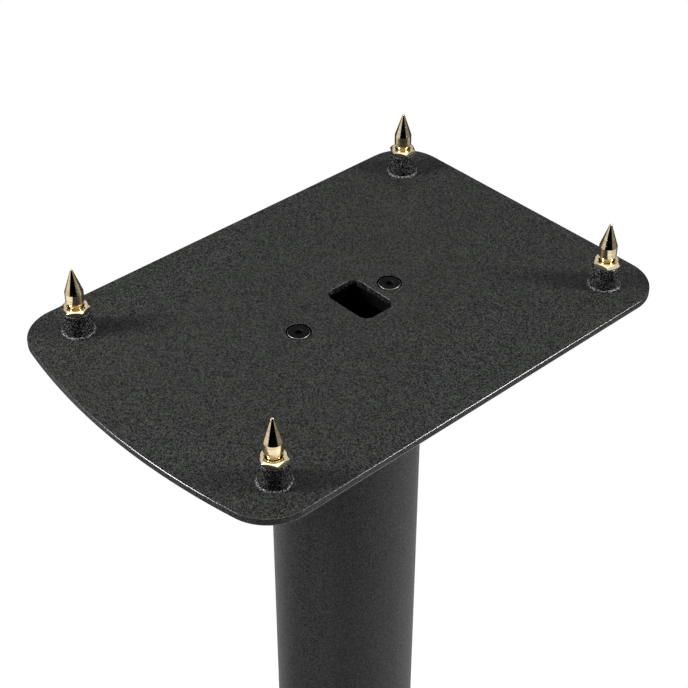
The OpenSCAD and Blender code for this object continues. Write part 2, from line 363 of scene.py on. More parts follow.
def lathe_tree():
    """Turns a section, with the radius along X and the height along Y, about the Z axis"""
    reach = 0.01
    tree, node, given = start_tree("Lathe", {"Section": "Geometry", "Steps": 96})
    circle = node(CIRCLE, {"Resolution": given["Steps"], "Radius": reach})
    circle = node(UPRIGHT, {"Curve": circle}, mode="Z_UP")
    place = node(SPLIT, (node("GeometryNodeInputPosition"),)).outputs
    outward = node(MATH, (place["X"], reach), operation="SUBTRACT")
    downward = node(MATH, (place["Y"], -1.0), operation="MULTIPLY")
    section = node(SHIFT, {"Geometry": given["Section"], "Position": node(XYZ, (outward, downward))})
    turned = node(SWEEP, {"Curve": circle, "Profile Curve": section})
    return end_tree(tree, node(WELD, {"Geometry": turned, "Distance": MERGE}))


def plate_tree(rounded_line):
    """Steel plate inside an outline: rounded rim, cable slot and countersunk holes, upper face at height 0"""
    tree, node, given = start_tree("Steel plate", {
        "Outline": "Geometry", "Thickness": 0.004, "Rim Radius": 0.001, "Slot": True, "Slot Width": 0.03,
        "Slot Length": 0.02, "Slot Corner": 0.005, "Slot Place": 0.01, "Slot Edge": 0.0004, "Screws": 2,
        "Screw Circle": 0.03, "First Angle": 0.0, "Hole Radius": 0.003, "Sink Radius": 0.006,
        "Sink Edge": 0.00025, "Height": 0.0, "Turned Over": False, "Coat": "Material"})
    thick = given["Thickness"]

    def wall(radius, steps):
        """Section of a wall as high as the plate is thick, with both its corners rounded"""
        back = node(MATH, (radius, -1.0), operation="MULTIPLY")
        return node(GROUP, {
            "Point 1": node(XYZ, (back,)), "Point 2": (0.0, 0.0, 0.0), "Point 3": node(XYZ, (0.0, thick)),
            "Point 4": node(XYZ, (back, thick)), "Radius": radius, "Steps": steps}, node_tree=rounded_line)

    def swept(path, section):
        """Wall along a level path, with its section kept upright"""
        return node(SWEEP, {"Curve": node(UPRIGHT, {"Curve": path}, mode="Z_UP"), "Profile Curve": section})

    rim = swept(node(TO_CURVE, {"Mesh": given["Outline"]}), wall(given["Rim Radius"], 6))

    slot = node(FOUR_SIDED, {"Width": given["Slot Width"], "Height": given["Slot Length"]})
    slot = node(FILLET, {"Curve": slot, "Radius": given["Slot Corner"], "Count": 16}, mode="POLY")
    slot = node(MOVE, {"Geometry": slot, "Translation": node(XYZ, (0.0, given["Slot Place"]))})
    slot = swept(node("GeometryNodeReverseCurve", {"Curve": slot}), wall(given["Slot Edge"], 4))
    # The slot's walls are marked so that the coat paints shade on them
    slot = node(STORE, {"Geometry": slot, "Name": "hole", "Value": IN_SLOT}, **PER_FACE)
    slot = node("GeometryNodeSwitch", {"Switch": given["Slot"], "True": slot}, input_type="GEOMETRY")

    sink = node(MATH, (given["Sink Radius"], given["Hole Radius"]), operation="SUBTRACT")
    brink = node(MATH, (sink, given["Sink Edge"]), operation="ADD")
    cone = node(GROUP, {
        "Point 1": node(XYZ, (node(MATH, (brink, -1.0), operation="MULTIPLY"),)),
        "Point 2": node(XYZ, (node(MATH, (sink, -1.0), operation="MULTIPLY"),)),
        "Point 3": node(XYZ, (0.0, sink)), "Point 4": node(XYZ, (0.0, thick)),
        "Radius": given["Sink Edge"], "Steps": 3}, node_tree=rounded_line)
    hole = node(CIRCLE, {"Resolution": 64, "Radius": given["Hole Radius"]})
    hole = swept(node("GeometryNodeReverseCurve", {"Curve": hole}), cone)
    ring = points_on_circle(node, given["Screws"], given["Screw Circle"], given["First Angle"])
    holes = node(REALIZE, {"Geometry": node(INSTANCES, {"Points": ring, "Instance": hole})})
    # The holes' walls are marked so that the coat paints shade on them
    holes = node(STORE, {"Geometry": holes, "Name": "hole", "Value": IN_HOLE}, **PER_FACE)

    slope = node(SPLIT, (node("GeometryNodeInputNormal"),)).outputs["Z"]
    slope = node(MATH, (slope,), operation="ABSOLUTE")
    past_upright = node(MATH, (slope, 0.1), operation="GREATER_THAN")
    short_of_level = node(MATH, (slope, 0.97), operation="LESS_THAN")
    rounded = node(LOGIC, (past_upright, short_of_level), operation="AND")
    rim, slot = (node(STORE, {
        "Geometry": part, "Selection": rounded, "Name": "edge", "Value": wear}, **PER_FACE)
        for part, wear in ((rim, RIM_WEAR), (slot, SLOT_WEAR)))

    walls = node(WELD, {"Geometry": node(JOIN, ([rim, slot, holes],)), "Distance": MERGE})
    loose = node("FunctionNodeCompare", {2: node("GeometryNodeInputMeshEdgeNeighbors"), 3: 1},
                 data_type="INT", operation="EQUAL")
    height = node(SPLIT, (node("GeometryNodeInputPosition"),)).outputs["Z"]
    middle = node(MATH, (thick, -0.5), operation="MULTIPLY")
    upper, lower = (node(LOGIC, (loose, node(MATH, (height, middle), operation=side)), operation="AND")
                    for side in ("GREATER_THAN", "LESS_THAN"))
    upper, lower = (node(FILL, {"Curve": node(TO_CURVE, {"Mesh": walls, "Selection": brim})}, mode="NGONS")
                    for brim in (upper, lower))
    lower = node(MOVE, {"Geometry": node(FLIP, {"Mesh": lower}), "Translation": node(XYZ, (
        0.0, 0.0, node(MATH, (thick, -1.0), operation="MULTIPLY")))})
    plate = node(WELD, {"Geometry": node(JOIN, ([walls, upper, lower],)), "Distance": MERGE})
    turn = node(MATH, (given["Turned Over"], math.pi), operation="MULTIPLY")
    plate = node(MOVE, {"Geometry": plate, "Rotation": node(XYZ, (0.0, turn)),
                        "Translation": node(XYZ, (0.0, 0.0, given["Height"]))})
    return end_tree(tree, plate, given["Coat"])


def boss_tree(rounded_line, lathe):
    """Bosses at the stations, each with sides that bulge and a lumpy weld bead round its foot"""
    tree, node, given = start_tree("Welded bosses", {
        "Stations": "Geometry", "Height": 0.013, "Top Radius": 0.007, "Foot Radius": 0.0075,
        "Bore Radius": 0.004, "Edge Radius": 0.0004, "Swell": 0.0004, "Bead": 0.0011, "Lumps": 0.0002,
        "Lump Size": 0.0018, "Seed": 3.0, "Upside Down": False, "Coat": "Material"})
    section = node(GROUP, {
        "Point 1": node(XYZ, (given["Bore Radius"], given["Height"])),
        "Point 2": node(XYZ, (given["Top Radius"], given["Height"])),
        "Point 3": node(XYZ, (given["Foot Radius"],)), "Point 4": node(XYZ, (given["Bore Radius"],)),
        "Radius": given["Edge Radius"], "Steps": 4, "Closed": True}, node_tree=rounded_line)
    section = node("GeometryNodeSubdivideCurve", {"Curve": section, "Cuts": 2})

    # The bulge is a parabola over the height, and leaves the bore as it is
    place = node(SPLIT, (node("GeometryNodeInputPosition"),)).outputs
    rise = node(MATH, (place["Y"], given["Height"]), operation="DIVIDE")
    bulge = node(MATH, (rise, node(MATH, (1.0, rise), operation="SUBTRACT")), operation="MULTIPLY")
    bulge = node(MATH, (bulge, 4.0), operation="MULTIPLY")
    past_bore = node(MATH, (given["Bore Radius"], 1.2), operation="MULTIPLY")
    outside = node(MATH, (place["X"], past_bore), operation="GREATER_THAN")
    bulge = node(MATH, (bulge, outside), operation="MULTIPLY")
    bulge = node(MATH, (bulge, given["Swell"]), operation="MULTIPLY")
    section = node(SHIFT, {"Geometry": section, "Offset": node(XYZ, (bulge,))})
    boss = node(GROUP, {"Section": section, "Steps": 96}, node_tree=lathe)

    ring = node(CIRCLE, {"Resolution": 160, "Radius": given["Foot Radius"]})
    bead = node(CIRCLE, {"Resolution": 24, "Radius": given["Bead"]})
    bead = node(SWEEP, {"Curve": ring, "Profile Curve": bead})
    turn = node(XYZ, (node(MATH, (given["Upside Down"], math.pi), operation="MULTIPLY"),))
    boss, bead = (node(REALIZE, {"Geometry": node(INSTANCES, {
        "Points": given["Stations"], "Instance": thing, "Rotation": turn})}) for thing in (boss, bead))

    fineness = node(MATH, (1.0, given["Lump Size"]), operation="DIVIDE")
    lumps = node(NOISE, {"W": given["Seed"], "Scale": fineness, "Detail": 1.5}, noise_dimensions="4D")
    push = node(MATH, (node(RANGE, (lumps, 0.3, 0.7, -1.0, 1.0)), given["Lumps"]), operation="MULTIPLY")
    outward = node("GeometryNodeInputNormal")
    push = node("ShaderNodeVectorMath", {0: outward, "Scale": push}, operation="SCALE")
    bead = node(SHIFT, {"Geometry": bead, "Offset": push})
    bead = node(STORE, {"Geometry": bead, "Name": "bead", "Value": 1.0}, data_type="FLOAT", domain="POINT")
    return end_tree(tree, node(JOIN, ([boss, bead],)), given["Coat"])


def station_tree():
    """The same piece at every station, turned about Z by the station's own angle"""
    tree, node, given = start_tree("Pieces at stations", {
        "Stations": "Geometry", "Piece": "Object", "Upside Down": False, "Finish": "Material"})
    piece = node("GeometryNodeObjectInfo", {"Object": given["Piece"]}).outputs["Geometry"]
    turn = node("GeometryNodeInputNamedAttribute", {"Name": "turn"}, data_type="FLOAT")
    over = node(MATH, (given["Upside Down"], math.pi), operation="MULTIPLY")
    there = node(INSTANCES, {
        "Points": given["Stations"], "Instance": piece, "Rotation": node(XYZ, (over, 0.0, turn))})
    return end_tree(tree, there, given["Finish"])


def screw_ring_tree():
    """Screws set evenly on a circle about the pillar's axis"""
    tree, node, given = start_tree("Ring of screws", {
        "Screw": "Geometry", "Count": 2, "Circle": 0.03, "First Angle": 0.0, "Height": 0.0,
        "Upside Down": False, "Socket Turn": 0.3, "Finish": "Material"})
    ring = points_on_circle(node, given["Count"], given["Circle"], given["First Angle"])
    ring = node(MOVE, {"Geometry": ring, "Translation": node(XYZ, (0.0, 0.0, given["Height"]))})
    turn = node(MATH, (node("GeometryNodeInputIndex"), given["Socket Turn"]), operation="MULTIPLY")
    over = node(MATH, (given["Upside Down"], math.pi), operation="MULTIPLY")
    turn = node(XYZ, (over, 0.0, turn))
    screws = node(INSTANCES, {"Points": ring, "Instance": given["Screw"], "Rotation": turn})
    return end_tree(tree, screws, given["Finish"])


def spike_tree(rounded_line, lathe):
    """Turned spike from its section, with a helical thread wound round the stud"""
    tree, node, given = start_tree("Threaded spike", {
        "Section": "Geometry", "Edge Radius": 0.00025, "Core Radius": 0.0033, "Depth": 0.0006,
        "Pitch": 0.00125, "Thread Foot": 0.001, "Thread Length": 0.013, "Place": "Vector",
        "Upside Down": False, "Finish": "Material"})
    section = node(TO_CURVE, {"Mesh": given["Section"]})
    section = node(FILLET, {
        "Curve": section, "Radius": given["Edge Radius"], "Count": 3, "Limit Radius": True}, mode="POLY")
    body = node(GROUP, {"Section": section, "Steps": 128}, node_tree=lathe)

    turns = node(MATH, (given["Thread Length"], given["Pitch"]), operation="DIVIDE")
    helix = node("GeometryNodeCurveSpiral", {
        "Resolution": 48, "Rotations": turns, "Start Radius": given["Core Radius"],
        "End Radius": given["Core Radius"], "Height": given["Thread Length"], "Reverse": False})
    helix = node(MOVE, {"Geometry": helix, "Translation": node(XYZ, (0.0, 0.0, given["Thread Foot"]))})
    half = node(MATH, (given["Pitch"], 0.46), operation="MULTIPLY")
    crest = node(MATH, (given["Pitch"], 0.08), operation="MULTIPLY")
    sunk = -0.0002
    ridge = node(FOUR_SIDED, {
        "Point 1": node(XYZ, (sunk, node(MATH, (half, -1.0), operation="MULTIPLY"))),
        "Point 2": node(XYZ, (given["Depth"], node(MATH, (crest, -1.0), operation="MULTIPLY"))),
        "Point 3": node(XYZ, (given["Depth"], crest)), "Point 4": node(XYZ, (sunk, half))}, mode="POINTS")
    thread = node(SWEEP, {
        "Curve": node(UPRIGHT, {"Curve": helix}, mode="Z_UP"), "Profile Curve": ridge, "Fill Caps": True})

    over = node(XYZ, (node(MATH, (given["Upside Down"], math.pi), operation="MULTIPLY"),))
    spike = node(JOIN, ([body, thread],))
    spike = node(MOVE, {"Geometry": spike, "Rotation": over, "Translation": given["Place"]})
    return end_tree(tree, spike, given["Finish"])


def pillar_tree(rounded_line, lathe):
    """Tube with its ends broken and a rounded opening cut through the rear wall"""
    tree, node, given = start_tree("Pillar tube", {
        "Mesh": "Geometry", "Radius": 0.04, "Wall": 0.0025, "Foot": 0.04, "Top": 0.6, "Exit Width": 0.03,
        "Exit Height": 0.02, "Exit Corner": 0.005, "Exit Middle": 0.08, "Edge Radius": 0.0003,
        "Coat": "Material"})
    inner = node(MATH, (given["Radius"], given["Wall"]), operation="SUBTRACT")
    section = node(GROUP, {
        "Point 1": node(XYZ, (inner, given["Top"])), "Point 2": node(XYZ, (given["Radius"], given["Top"])),
        "Point 3": node(XYZ, (given["Radius"], given["Foot"])), "Point 4": node(XYZ, (inner, given["Foot"])),
        "Radius": given["Edge Radius"], "Steps": 3, "Closed": True}, node_tree=rounded_line)
    tube = node(GROUP, {"Section": section, "Steps": 192}, node_tree=lathe)

    opening = node(FOUR_SIDED, {"Width": given["Exit Width"], "Height": given["Exit Height"]})
    opening = node(FILLET, {"Curve": opening, "Radius": given["Exit Corner"], "Count": 12}, mode="POLY")
    face = node(FILL, {"Curve": opening}, mode="NGONS")
    sides = node("GeometryNodeExtrudeMesh", {
        "Mesh": face, "Offset Scale": given["Radius"], "Individual": False}, mode="FACES")
    block = node(WELD, {"Geometry": node(JOIN, ([sides, node(FLIP, {"Mesh": face})],)), "Distance": MERGE})
    out = node(MATH, (given["Radius"], 1.4), operation="MULTIPLY")
    block = node(MOVE, {"Geometry": block, "Rotation": (math.radians(90), 0.0, 0.0),
                        "Translation": node(XYZ, (0.0, out, given["Exit Middle"]))})
    opened = node("GeometryNodeMeshBoolean", {"Mesh 1": tube, "Mesh 2": block},
                  operation="DIFFERENCE", solver="EXACT")
    return end_tree(tree, opened, given["Coat"])


# Materials

def start_material(name):
    """Starts a material with no nodes, and gives the function that adds a node to it"""
    material = bpy.data.materials.new(name)
    material.use_nodes = True
    material.node_tree.nodes.clear()
    return material, functools.partial(add_node, material.node_tree)


def per_metre(millimetres):
    """Scale of a pattern whose features are this many millimetres apart"""
    return 1000.0 / millimetres


def powder_coat(finish):
    """Fine-textured polyester powder coat, sprayed and baked on steel: small hills about 0.7 mm apart and
    grains of half a millimetre, some of them paler. On a plate's outer edges the coat runs thin, and is
    smoother and shinier there. Inside the holes its colour is painted shade: black, with nearly all the
    sheen taken off their walls, and in the slot paler grains, painted light, that fade out from near its top."""
    material, node = start_material("textured black powder coat")
    place = node(PLACE).outputs["Object"]
    hole = node(READ, attribute_name="hole").outputs["Fac"]
    edge = node(READ, attribute_name="edge").outputs["Fac"]
    hills = node(NOISE, {"Vector": place, "Scale": per_metre(0.68), "Detail": 1.5, "Roughness": 0.7})

    cells = node("ShaderNodeTexVoronoi", {"Vector": place, "Scale": per_metre(0.5)})
    pale = node("ShaderNodeSeparateColor", (cells.outputs["Color"],))
    pale = node(RANGE, (pale, 0.25, 1.0, 0.0, 1.02))
    outside = node(MIX, {
        "Factor": pale, A_COLOUR: (*finish.coat, 1.0), B_COLOUR: (*finish.speck, 1.0)}, data_type="RGBA")

    # Painted shade inside the holes: their colour is the weld coat's black. In the slot, paler grains
    # are painted light, most of them near its top and none from 4.5 mm down.
    height = node(SPLIT, (place,)).outputs["Z"]
    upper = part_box("top_plate")[1].z
    painted_light_near_top = node(RANGE, (height, upper - 0.0045, upper - 0.001, 0.0, 0.5))
    grains = node(RANGE, (hills, 0.54, 0.6, 0.0, painted_light_near_top))
    grains = node(RANGE, (hole, IN_SLOT, IN_HOLE, grains, 0.0))
    inside = node(MIX, {
        "Factor": grains, A_COLOUR: (*finish.weld, 1.0), B_COLOUR: (*finish.pale_grains_and_glints, 1.0)}, data_type="RGBA")
    shown = node(MIX, {
        "Factor": hole, A_COLOUR: outside.outputs[MIXED_COLOUR], B_COLOUR: inside.outputs[MIXED_COLOUR],
    }, data_type="RGBA")

    rough = node(RANGE, (hills, 0.3, 0.75, 0.58, 0.44))
    rough = node(MIX, {"Factor": edge, A_NUMBER: rough, B_NUMBER: 0.2}, data_type="FLOAT")
    shine = node(RANGE, (edge, 0.0, 1.0, 0.12, 0.45))
    # Inside the holes the sheen is taken off, which keeps them black as part of the painted shade
    shine = node(MIX, {"Factor": hole, A_NUMBER: shine, B_NUMBER: edge}, data_type="FLOAT")
    relief = node(RANGE, (edge, 0.0, 1.0, 0.35, 0.08))
    bump = node(BUMP, {"Height": hills, "Distance": 0.0002, "Strength": relief})
    node(SURFACE, {"Surface": node(PRINCIPLED, {
        "Base Color": shown.outputs[MIXED_COLOUR], "Roughness": rough, "Specular IOR Level": shine,
        "IOR": 1.5, "Normal": bump})})
    return material


def weld_coat(finish):
    """The same coat over hand-welded steel: darker, smoother on the boss and lumpy over the bead. On the bead
    the paler grains crowd so densely that they are also painted glints
    """
    material, node = start_material("black coat over weld")
    place = node(PLACE).outputs["Object"]
    bead = node(READ, attribute_name="bead").outputs["Fac"]
    grain = node(NOISE, {"Vector": place, "Scale": per_metre(0.7), "Detail": 2.0, "Roughness": 0.6})
    lumps = node(NOISE, {"Vector": place, "Scale": per_metre(2.8), "Detail": 2.0, "Roughness": 0.5})
    # Paler grains: few on the boss, and on the bead so many that they are painted glints as well as texture
    few = node(RANGE, (grain, 0.5, 0.62, 0.0, 0.6))
    many = node(RANGE, (grain, 0.5, 0.55, 0.02, 1.0))
    grains = node(MIX, {"Factor": bead, A_NUMBER: few, B_NUMBER: many}, data_type="FLOAT")
    shown = node(MIX, {
        "Factor": grains, A_COLOUR: (*finish.weld, 1.0), B_COLOUR: (*finish.pale_grains_and_glints, 1.0)}, data_type="RGBA")
    rough = node(RANGE, (lumps, 0.3, 0.7, 0.32, 0.22))
    relief = node(MATH, (lumps, 2.4, grain), operation="MULTIPLY_ADD")
    bump = node(BUMP, {"Height": relief, "Distance": 0.00022, "Strength": 0.9})
    node(SURFACE, {"Surface": node(PRINCIPLED, {
        "Base Color": shown.outputs[MIXED_COLOUR], "Roughness": rough, "Specular IOR Level": 0.22,
        "Normal": bump})})
    return material


def polished_brass(finish):
    """Bar-turned brass, polished and plated pale: a mirror with faint lathe rings round the axis. The real
    rings are finer than a render shows, so they are drawn 0.7 mm apart, as duller and warmer bands."""
    material, node = start_material("polished brass plating")
    place = node(PLACE).outputs["Object"]
    across, along = per_metre(25.0), per_metre(0.7)
    place = node("ShaderNodeMapping", {"Vector": place, "Scale": (across, across, along)})
    rings = node(NOISE, {"Vector": place, "Scale": 1.0, "Detail": 2.0, "Roughness": 0.6})
    warm = tuple(c * share for c, share in zip(finish.brass, (0.78, 0.7, 0.58)))
    bands = node(RANGE, (rings, 0.4, 0.65, 0.0, 1.0))
    shown = node(MIX, {
        "Factor": bands, A_COLOUR: (*finish.brass, 1.0), B_COLOUR: (*warm, 1.0)}, data_type="RGBA")
    rough = node(RANGE, (rings, 0.35, 0.65, 0.05, 0.15))
    bump = node(BUMP, {"Height": rings, "Distance": 0.00002, "Strength": 0.6})
    node(SURFACE, {"Surface": node(PRINCIPLED, {
        "Base Color": shown.outputs[MIXED_COLOUR], "Metallic": 1.0, "Roughness": rough, "Normal": bump})})
    return material


def black_oxide(finish):
    """Cold-headed alloy steel, blackened in an oxide bath and oiled: satin, nearly black, slightly cloudy,
    with the oxide rubbed off round the rim of the head"""
    material, node = start_material("black oxide steel")
    place = node(PLACE).outputs["Object"]
    rubbed = node(READ, attribute_name="worn").outputs["Fac"]
    clouds = node(NOISE, {"Vector": place, "Scale": per_metre(1.4), "Detail": 3.0})
    grain = node(NOISE, {"Vector": place, "Scale": per_metre(0.4), "Detail": 1.0})
    greyer = tuple(c * 1.5 for c in finish.oxide)
    share = node(RANGE, (clouds, 0.45, 0.8, 0.0, 1.0))
    oxide = node(MIX, {
        "Factor": share, A_COLOUR: (*finish.oxide, 1.0), B_COLOUR: (*greyer, 1.0)}, data_type="RGBA")
    shown = node(MIX, {
        "Factor": rubbed, A_COLOUR: oxide.outputs[MIXED_COLOUR], B_COLOUR: (*finish.steel, 1.0),
    }, data_type="RGBA")
    rough = node(RANGE, (clouds, 0.3, 0.7, 0.38, 0.5))
    bump = node(BUMP, {"Height": grain, "Distance": 0.00003, "Strength": 0.6})
    node(SURFACE, {"Surface": node(PRINCIPLED, {
        "Base Color": shown.outputs[MIXED_COLOUR], "Metallic": rubbed, "Roughness": rough,
        "Specular IOR Level": 0.05, "Normal": bump})})
    return material


def materials():
    """The four finishes, made once"""
    finish = bpy.context.scene.stand_finish
    makers = {"coat": powder_coat, "weld": weld_coat, "brass": polished_brass, "oxide": black_oxide}
    made = bpy.context.scene.get("stand_materials")
    if made is None:
        made = {key: maker(finish).name for key, maker in makers.items()}
        bpy.context.scene["stand_materials"] = made
    return {key: bpy.data.materials[made[key]] for key in makers}


# Shapes that the trees work on

def outer_face(prefix):
    """Height of a plate's outer face: the top plate's upper one or the base plate's lower one"""
    low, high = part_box(prefix + "_plate")
    return high.z if prefix == "top" else low.z


def screw_nodes(prefix):
    """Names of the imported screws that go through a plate"""
    if prefix == "top":
        return ["top_screw_front", "top_screw_rear"]
    return [f"base_screw_{i + 1}" for i in range(bpy.context.scene.stand_screws.base_count)]


def arc(centre, radius, start, end, steps):
    angles = [math.radians(start + (end - start) * i / steps) for i in range(steps + 1)]
    return [(centre[0] + radius * math.cos(a), centre[1] + radius * math.sin(a)) for a in angles]


def plate_outline(node, bow, corner):
    """Outline of a plate, anticlockwise: straight sides and rear, bowed front, four round corners"""
    low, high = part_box(node)
    side = high.x - corner
    bow_y = low.y + bow
    reach = bow - corner
    front = bow_y - math.sqrt(reach ** 2 - side ** 2)
    half = math.degrees(math.asin(side / reach))
    points = (arc((side, high.y - corner), corner, 0, 90, CORNER_STEPS)
              + arc((-side, high.y - corner), corner, 90, 180, CORNER_STEPS)
              + arc((-side, front), corner, 180, 270 - half, CORNER_STEPS)[:-1]
              + arc((0, bow_y), bow, 270 - half, 270 + half, BOW_STEPS)
              + arc((side, front), corner, 270 + half, 360, CORNER_STEPS)[1:])
    ring = [(x, y, 0.0) for x, y in points]
    return make_mesh(node + "_outline", ring, [(i, (i + 1) % len(ring)) for i in range(len(ring))])


def stations(prefix, turns=UNTURNED):
    """One point at the foot of each boss, which holds its lock nut's turn, reversed under the base plate"""
    feet = []
    for corner in CORNERS:
        low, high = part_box(f"{prefix}_boss_{corner}")
        feet.append(((low.x + high.x) / 2, (low.y + high.y) / 2, outer_face(prefix)))
    mesh = make_mesh(prefix + "_stations", feet)
    attribute = mesh.attributes.new("turn", "FLOAT", "POINT")
    attribute.data.foreach_set("value", [math.radians(t if prefix == "top" else -t) for t in turns])
    return mesh


def ring_stack(name, rings, steps):
    """Closed skin over rings of points, each given as radius and height, which may depend on the angle"""
    points, faces = [], []
    for radius, height in rings:
        for k in range(steps):
            a = 2 * math.pi * k / steps
            r = radius(a) if callable(radius) else radius
            points.append((r * math.cos(a), r * math.sin(a), height(a) if callable(height) else height))
    for j in range(len(rings)):
        for k in range(steps):
            lower, upper = j * steps, (j + 1) % len(rings) * steps
            faces.append((lower + k, lower + (k + 1) % steps, upper + (k + 1) % steps, upper + k))
    return make_mesh(name, points, faces=faces)


def hexagon(flats, offset):
    """Radius, at any angle, of a hexagon with half its width across the flats given, grown by an offset"""
    return lambda a: flats / math.cos(a % (math.pi / 3) - math.pi / 6) + offset


def nut_mesh(spikes):
    """Lock nut: hexagon with its corners chamfered at 30 degrees and all its edges bevelled, and a bore with
    a chamfer at its mouth"""
    flats, bore, bevel, sink = spikes.nut_flats / 2, spikes.thread / 2, spikes.nut_bevel, spikes.nut_sink
    side_bevel, broken = bevel * 0.75, 0.00006
    foot = size_of("top_boss_front_left").z
    top = foot + size_of("top_nut_front_left").z
    side, brink = hexagon(flats, 0.0), hexagon(flats, -bevel)

    def chamfer(height, inset, outward):
        """Height at any angle of the chamfer on the corners, below a face that looks up or above one that
        looks down"""
        slope = math.tan(math.pi / 6)
        return lambda a: height - outward * (max(0.0, brink(a) - flats + bevel) * slope + inset)

    rings = [
        (bore, foot + broken), (bore + broken, foot), (flats - bevel, foot), (brink, chamfer(foot, 0.0, -1)),
        (side, chamfer(foot, side_bevel, -1)), (side, chamfer(top, side_bevel, 1)),
        (brink, chamfer(top, 0.0, 1)), (flats - bevel, top), (bore + sink + broken, top),
        (bore + sink - broken, top - broken), (bore + broken, top - sink + broken),
        (bore, top - sink - broken)]
    return ring_stack("lock_nut", rings, NUT_STEPS)


def screw_mesh(screws):
    """Countersunk screw whose head is flush with height 0: rounded rim, cone, shank and hexagon socket"""
    head, shank, socket, rim = screws.head / 2, screws.shank / 2, screws.socket / 2, screws.rim
    floor, end = -screws.socket_depth, -size_of("top_screw_front").z
    cone = shank - head - rim
    soft, end_chamfer, broken = 0.00024, 0.0008, 0.00005
    centre, drill_point, socket_foot = 0.00002, 0.0006, 0.0001

    # How far the socket's mouth flares out at three heights, and the head's edge as shares of its rounding
    mouth = ((0.0, -0.0004), (0.0001, -0.00022), (0.00035, 0.0))
    rounding = ((1.0, 0.0), (0.6, 0.08), (0.3, 0.3), (0.08, 0.6), (0.0, 1.0))

    def flared(flare):
        """Radius of the socket, at any angle, where it is wider by this much"""
        return hexagon(socket + flare, 0.0)

    rings = [
        (centre, floor - drill_point), (socket - 2 * socket_foot, floor), (flared(0.0), floor + socket_foot),
        *((flared(flare), height) for flare, height in mouth),
        *((head - soft * inward, -soft * down) for inward, down in rounding),
        (head, broken - rim), (head - 2 * broken, -rim - broken), (shank + soft, cone + soft),
        (shank, cone - soft), (shank, end + end_chamfer), (shank - end_chamfer, end), (centre, end)]
    mesh = ring_stack("plate_screw", rings, SCREW_STEPS)
    worn = mesh.attributes.new("worn", "FLOAT", "POINT")
    for vertex, value in zip(mesh.vertices, worn.data):
        outermost = math.hypot(vertex.co.x, vertex.co.y) > head - soft * 0.4
        value.value = 1.0 if outermost and vertex.co.z > -rim else 0.0
    return mesh


def spike_section(spikes):
    """Section of a spike from the foot of its stud to its tip, with the radius along X. The heights of its
    foot and of its body's seat and the radius of the thread's core come back with it."""
    low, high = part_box("top_spike_front_left")
    foot, tip = low.z - outer_face("top"), high.z - outer_face("top")
    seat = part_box("top_nut_front_left")[1].z - outer_face("top") + spikes.show
    play, stud_chamfer = 0.00005, 0.0003
    core = spikes.thread / 2 - play - spikes.depth
    body = spikes.body / 2
    points = [
        (0.0, foot), (core - stud_chamfer, foot), (core, foot + stud_chamfer), (core, seat),
        (body - spikes.body_chamfer, seat), (body, seat + spikes.body_chamfer),
        (body, seat + spikes.body_height), (spikes.tip / 2, tip), (0.0, tip)]
    lines = [(i, i + 1) for i in range(len(points) - 1)]
    return make_mesh("spike_section", [(x, y, 0.0) for x, y in points], lines), foot, seat, core


# Operators

class STAND_OT_plates(bpy.types.Operator):
    """Builds the two coated steel plates over their solids"""
    bl_idname = "stand.plates"
    bl_label = "Build the plates"

    def execute(self, context):
        plates, screws, coat = context.scene.stand_plates, context.scene.stand_screws, materials()["coat"]
        tree = plate_tree(rounded_line_tree())
        shared = {
            "Rim Radius": plates.rim_radius, "Slot Width": plates.slot_width,
            "Slot Length": plates.slot_length, "Slot Corner": plates.slot_corner,
            "Slot Place": plates.slot_back, "Slot Edge": plates.slot_edge, "Screw Circle": screws.circle,
            "Hole Radius": screws.hole / 2, "Sink Radius": screws.head / 2 + screws.sink_gap, "Coat": coat}
        for prefix, bow, corner in (("top", plates.top_bow, plates.top_corner),
                                    ("base", plates.base_bow, plates.base_corner)):
            node = prefix + "_plate"
            piece = grow("coated_" + node, plate_outline(node, bow, corner), tree, {
                **shared, "Thickness": size_of(node).z, "Slot": prefix == "top",
                "Screws": len(screw_nodes(prefix)), "First Angle": math.radians(FIRST_SCREW[prefix]),
                "Height": outer_face(prefix), "Turned Over": prefix == "base"})
            finish_piece(piece, "root", "powder_coat", node)
        return {"FINISHED"}


class STAND_OT_pillar(bpy.types.Operator):
    """Builds the pillar tube and finishes the rings inside it"""
    bl_idname = "stand.pillar"
    bl_label = "Build the pillar"

    def execute(self, context):
        pillar, plates, coats = context.scene.stand_pillar, context.scene.stand_plates, materials()
        low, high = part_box("pillar_tube")
        tree = pillar_tree(rounded_line_tree(), lathe_tree())
        piece = grow("coated_pillar", make_mesh("pillar_axis", [(0, 0, 0)]), tree, {
            "Radius": pillar.diameter / 2, "Wall": pillar.wall, "Foot": low.z, "Top": high.z,
            "Exit Width": plates.slot_width, "Exit Height": pillar.exit_height,
            "Exit Corner": plates.slot_corner, "Exit Middle": low.z + pillar.exit_rise,
            "Coat": coats["coat"]})
        finish_piece(piece, "root", "powder_coat", "pillar_tube")
        for node in ("pillar_top_ring", "pillar_base_ring"):
            for material_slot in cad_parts[node].material_slots:
                material_slot.material = coats["oxide"]
        return {"FINISHED"}


class STAND_OT_bosses(bpy.types.Operator):
    """Builds the welded bosses on both plates"""
    bl_idname = "stand.bosses"
    bl_label = "Build the bosses"

    def execute(self, context):
        spikes = context.scene.stand_spikes
        tree = boss_tree(rounded_line_tree(), lathe_tree())
        for prefix, seed in (("top", 3.0), ("base", 8.0)):
            piece = grow(prefix + "_welded_bosses", stations(prefix), tree, {
                "Height": size_of("top_boss_front_left").z, "Top Radius": spikes.boss_top / 2,
                "Foot Radius": spikes.boss_foot / 2, "Bore Radius": spikes.thread / 2, "Swell": spikes.swell,
                "Bead": spikes.bead, "Lumps": spikes.bead_lumps, "Seed": seed,
                "Upside Down": prefix == "base", "Coat": materials()["weld"]})
            finish_piece(piece, "root", "weld_black", *(f"{prefix}_boss_{corner}" for corner in CORNERS))
        return {"FINISHED"}


